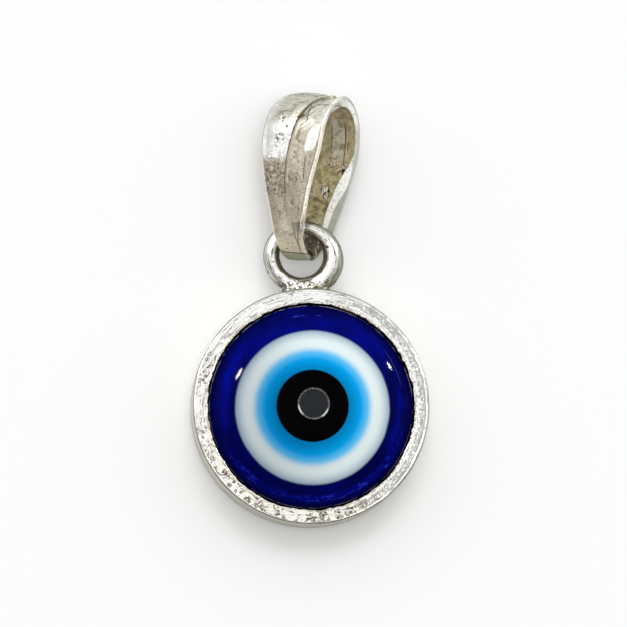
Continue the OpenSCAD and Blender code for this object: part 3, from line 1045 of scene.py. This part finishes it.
# The dull metal is taupe, darker along the fold, gritty at its left and paler at the foot
by_fold = from_fold.between(-0.45, 0.9, 0.2) * stretch(3.7, 5.4, 0.3)
shaded_left = from_fold.rise(0.1, -0.2) * stretch(3.9, 5.7, 0.3)
smudge = apart(from_fold, (along - 7.3) * 0.45, (0.38, 0)).rise(0.22, 0.06) * in_hollow
gritty = from_fold.rise(0.15, -0.1) * (along + wander * 0.9).between(3.6, 5.7, 0.25)
taupe = layered(
    TAUPE,
    (fine.rise(0.45, 0.66) * 0.45 + lumps.rise(0.45, 0.65) * 0.45, DARK_TAUPE),
    (by_fold * fine.rise(0.44, 0.56) * 0.7, DARK_TAUPE),
    (grit * (0.25 + 0.6 * by_fold) * lumps.rise(0.38, 0.5), BROWN),
    (shaded_left * (0.3 + 0.5 * streaks.rise(0.4, 0.6)), DARK_TAUPE),
    # painted shade: the dull front darker from low on the strip up to its middle; painted light:
    # paler at the foot
    (stretch(1.9, 5.0, 0.5) * from_fold.rise(1.2, 0.6) * 0.7, DARK_TAUPE),
    (along.rise(1.5, 0.7), FOOT_TAUPE),
    (smudge * lumps.rise(0.35, 0.55) * 0.8, BROWN),
    (gritty * soiled.rise(0.49, 0.57) * 0.8, SOIL),
    (gritty * soiled.rise(0.43, 0.38) * 0.6, TAUPE),
)

# The bright metal has streaks at the crest, hatching beside the fold and a worn spot
pale_ends = (from_left.rise(0.9, 0.2) + on_cut * depth.rise(0.7, 0.2)) * crest * outside
# painted shade: a dark streaked line along the crest's top edge, where it turns away
shaded_top_edge = depth.rise(1.1, 0.7) * along.rise(9.3, 9.5) * from_fold.rise(0.2, -0.1) * outside
greyed = lumps.rise(0.48, 0.62) * along.rise(6.6, 5.8) * flat_front * 0.5
greyed = greyed + (clouds - 0.5).line(0.12) * 0.3 * flat_front
# painted highlight: a cream line along the left side of the fold near the crest
painted_fold_highlight = from_fold.between(-0.55, -0.06, 0.12) * stretch(7.9, 9.05, 0.2) * front
worn_spot = apart(across, along, (-0.7, 6.95)).rise(0.8, 0.15) * (grit + specks) * front
hollow_top = ragged.rise(7.3, 8.3) * in_hollow * (1 - patch) * flat_front
hatched = apart(from_fold, along, (0.55, 8.2)).rise(0.9, 0.4) * front
toned = layered(
    SILVER,
    (clouds.rise(0.55, 0.8) * 0.2 + crest * 0.2, GREYISH),
    (outer_crest * 0.9, CREST_SILVER),
    (outer_crest * streaks.rise(0.5, 0.62) * 0.8, CREST_SHADE),
    (outer_crest * streaks.rise(0.46, 0.38) * 0.8, PALE_CREST),
    (pale_ends * (0.3 + 0.4 * fine.rise(0.4, 0.6)), SILVER),
    (shaded_top_edge * streaks.rise(0.4, 0.5) * 0.9, CREST_SHADE),
    (greyed, GREYISH),
    (painted_fold_highlight * fine.rise(0.38, 0.52), CREAM),
    (worn_spot * 0.9, DARK_GREY),
    (dull, taupe),
    (hollow_top * 0.7, PALE_CREST),
    (hatched * hatching.rise(0.51, 0.58) * 0.8, CREST_SHADE),
    (hatched * hatching.rise(0.48, 0.4) * 0.7, CREAM),
)

# Marks on the front: the fold's dark line, soil in the pits, a reddish line in the hollow, and
# the dark facet over the foot with its two lines
fold_width = 0.03 + 0.02 * along.rise(7.9, 8.4) + 0.01 * (lumps - 0.5)
fold_line = (1 - (from_fold - 0.01).math("ABSOLUTE") / fold_width).rise(0.0, 0.7)
fold_line = fold_line * along.rise(2.8, 4.4) * flat_front * (0.55 + 0.45 * lumps.rise(0.35, 0.5))
fold_side = from_fold.between(0.035, 0.12, 0.02) * stretch(4.4, 8.3, 0.3) * flat_front
fold_glint = (from_fold - 0.16).line(0.07) * stretch(7.2, 7.8, 0.2) * flat_front * 0.7
fold_spot = apart(from_fold, along, (0.06, 8.35)).rise(0.2, 0.04) * front
second_line = (from_fold - 0.2 - (8.75 - along) * 0.55).line(0.14) * stretch(8.1, 9.0, 0.12)
second_line = second_line + (along - 9.11).line(0.12) * from_fold.between(0.25, 1.3, 0.15)
red_line = (from_fold - 1.2 + wander * 0.06).line(0.14) * stretch(4.6, 6.0, 0.15) * flat_front
edge_line = (from_right - 0.19).line(0.13) * stretch(0.7, 6.8, 0.3) * flat_front
left_rim = from_left.rise(0.18, 0.08) * stretch(1.0, 6.1, 0.3) * front
left_shade = from_left.rise(0.12, 0.04) * along.rise(5.6, 6.2) * outside
right_rim = from_right.rise(0.13, 0.09) * stretch(2.6, 7.6, 0.4)
right_rim = right_rim + (from_right - 0.15).line(0.09) * along.rise(2.8, 2.2)
pit_mark = (pit + (fine - 0.5) * 0.9).rise(0.15, 0.75) * (1 - 0.45 * dull)
facet_middle = (from_fold - 0.62).math("ABSOLUTE")
facet = (0.36 + (along - 2.1) * 0.2 - facet_middle + wander * 0.05).rise(0.0, 0.06)
facet = facet * (along + wander * 0.3).between(1.4, 2.1, 0.08) * front
facet_line = (from_fold - 0.36 - (2.0 - along) * 0.02).line(0.12) * stretch(0.5, 2.1, 0.1)
facet_line = facet_line + (from_right - 0.27).line(0.08) * stretch(0.4, 2.2, 0.2)
foot_line = (along - 0.33 + (across - 0.2) * 0.03).line(0.12) * depth.rise(0.0, 0.2) * outside
under_foot = along.rise(0.3, 0.25) * outside

# The rear is greened at its side and cut bright and flat along its right edge
green_edge = 0.27 - 0.21 * along.rise(3.0, 4.7)
rear_side = (1 - on_cut + (from_right - green_edge).rise(0.03, -0.03)).rise(0, 1)
rear_side = rear_side * rear * along.rise(8.6, 7.6)
rear_edge = from_right.rise(0.05, 0.01) * rear * (1 - on_cut) * along.rise(4.8, 5.6)
cut_face = on_cut * rear * (1 - rear_side)
cut_grooves = (strip.grain(0.2, 2, 0.6, 1) - 0.5).line(0.05) * cut_face
toned = layered(
    toned,
    (left_rim * 0.8, CREAM),
    (right_rim * front, CREAM),
    (left_shade * 0.8, DARK_EDGE),
    (edge_line * 0.8, DARK_TAUPE),
    (specks * along.rise(6.2, 5.4) * 0.8 * flat_front, SOIL),
    (pit_mark, DARK_SOIL_AND_SHADE),
    (second_line * front * 0.75, FOLD_OLIVE),
    (fold_side * 0.9, TAUPE),
    (fold_glint, CREAM),
    (fold_line, along.rise(8.3, 8.7).mix(FOLD_BROWN, FOLD_OLIVE)),
    (fold_spot * 0.8, lumps.rise(0.4, 0.6).mix(RED_BROWN, FOLD_BROWN)),
    (red_line, RED_BROWN),
    (facet * (0.35 + 0.55 * (from_fold + (along - 1.9) * 0.8).rise(0.2, 0.8)), DARK_GREY),
    (facet_line * front * 0.8, FOLD_BROWN),
    (under_foot, FOOT_GREEN),
    (foot_line * 0.85, FOLD_BROWN),
    (rear_side * (0.5 + 0.5 * lumps), GREENISH),
    (rear_edge * 0.7, EDGE_SILVER),
    (cut_face, CUT_SILVER),
    (cut_grooves * 0.6, GREYISH),
    (cut_face * specks * 0.6, DARK_GREY),
)

# The inside is golden brown, with a grey zone between two dark lines, a rough ledge, soil, two
# spots of bright grit, and painted shade at the foot's low end, streaked with painted highlights
mottled = strip.grain(0.6, 5, 0.72, 0.4)
ledge_marks = strip.grain(0.22, 2, 0.6, 1.5)
glints = nodes.joined(across, along * 0.45, depth).grain(0.17, 2, 0.6, 0.8)
foot_streaks = nodes.joined(depth, along * 0.2, across).grain(0.16, 2, 0.6)
deep_inside = inside.rise(0.6, 0.9)
grey_zone = (across + wander * 0.25).between(0.6, 1.5, 0.12) * ragged.between(6.1, 8.7, 0.2)
inner_line = (across - 1.53).line(0.08) * stretch(5.6, 7.4, 0.2)
inner_line = inner_line + (across - 1.53).line(0.15) * stretch(7.3, 8.2, 0.2)
inner_line = inner_line + (across - 0.6 + wander * 0.1).line(0.12) * stretch(6.6, 8.2, 0.2) * 0.7
inner_line = inner_line + from_right.rise(0.14, 0.05) * along.rise(6.0, 7.0)
pale_line = (across - 1.62).line(0.08) * stretch(6.3, 8.0, 0.2)
ledge = (along - 5.75 + wander * 0.35 + (across - 1) * 0.3).between(-0.35, 0.3, 0.1)
ledge = ledge * across.rise(0.3, 0.6)
soil_patches = (lumps * 0.5 + clouds).rise(0.7, 0.86) * along.rise(5.3, 4.6)
sparkles = (apart(across, along, (1.72, 5.42)) + wander * 0.3).rise(0.38, 0.22)
low_spot = apart(across, along, (0.45, 4.15)) + wander * 0.5
sparkles = sparkles.math("MAXIMUM", low_spot.rise(0.42, 0.26))
inner = layered(
    ragged.rise(5.6, 6.2).mix(GOLDEN, OLIVE),
    (lumps.rise(0.4, 0.7) * 0.4, PINK),
    (grey_zone * 0.85, GREY_INSIDE),
    ((along + wander * 0.2).rise(8.35, 8.55), PINK),
    (along.rise(9.0, 9.15) * 0.8, BROWN),
    (mottled.rise(0.5, 0.4) * 0.45, PALE_GOLD),
    (mottled.rise(0.52, 0.62) * 0.7, BROWN),
    (fine.rise(0.5, 0.66) * 0.5 + grit * lumps.rise(0.45, 0.55) * 0.6, DARK_TAUPE),
    (inner_line * 0.9, DEEP_BROWN),
    (pale_line * 0.5, CREAM),
    (ledge * 0.7, PINK),
    (ledge * ledge_marks.rise(0.5, 0.57), BROWN),
    (ledge * ledge_marks.rise(0.46, 0.4), CREAM),
    (soil_patches * 0.8 + along.rise(4.6, 3.2) * 0.25, BROWN),
    (sparkles * glints.rise(0.5, 0.54), DEEP_BROWN),
    (sparkles * glints.rise(0.46, 0.43), SILVER),
)
# painted shade: the foot's low end dark inside and on its rear cut edge, with streaks of painted
# highlight on the edge
shaded_end = (along + wander * 0.3).rise(1.95, 1.65) * depth.rise(0.9, 0.5)
shaded_end_colour = (fine * 0.5 + mottled * 0.5).rise(0.48, 0.6).mix(DEEP_BROWN, TAN_SOIL)
shaded_foot_colour = foot_streaks.rise(0.44, 0.56).mix(BROWN, GREENISH)
shaded_foot_colour = foot_streaks.rise(0.56, 0.62).mix(shaded_foot_colour, CREAM)
toned = layered(
    toned,
    (deep_inside, inner),
    (shaded_end * deep_inside, shaded_end_colour),
    (shaded_end * on_cut, shaded_foot_colour),
)
height = (lumps + fine * 0.4) * (0.12 + 0.8 * dull + 1.6 * deep_inside) - (specks + pit) * 0.4
height = height + streaks * crest * 0.4 + ledge * 0.6 * deep_inside - fold_line * 0.3
roughness = (
    0.16
    + 0.4 * dull
    + 0.3 * deep_inside * (1 - sparkles * 0.6)
    + 0.08 * crest * lumps.rise(0.45, 0.6)
    + 0.25 * ragged.rise(8.8, 9.3)
    + 0.3 * patch
)
metallic = (
    1.0
    - 0.7 * (dull + fold_side).rise(0, 1) * (1 - fold_glint)
    - 0.7 * deep_inside * (1 - sparkles)
    - 0.3 * under_foot
    - 0.8 * pit_mark
    - 0.95 * cut_face
    - 0.6 * rear_side
    - 0.7 * fold_line * along.rise(8.2, 8.6)
)
finish_surface(nodes, height, 0.03, toned, roughness, metallic)
bail = make_piece("bail_strip", placed, bail_faces, bail_silver)
store(bail, "strip_place", strip_place, "FLOAT_VECTOR")
store(bail, "edge_places", edge_places, "FLOAT_VECTOR")
store(bail, "inside", inside_share)
store(bail, "on_cut", cut_share)
store(bail, "pitted", pitted)
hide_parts("bail")
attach(bail, "root")

low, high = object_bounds()
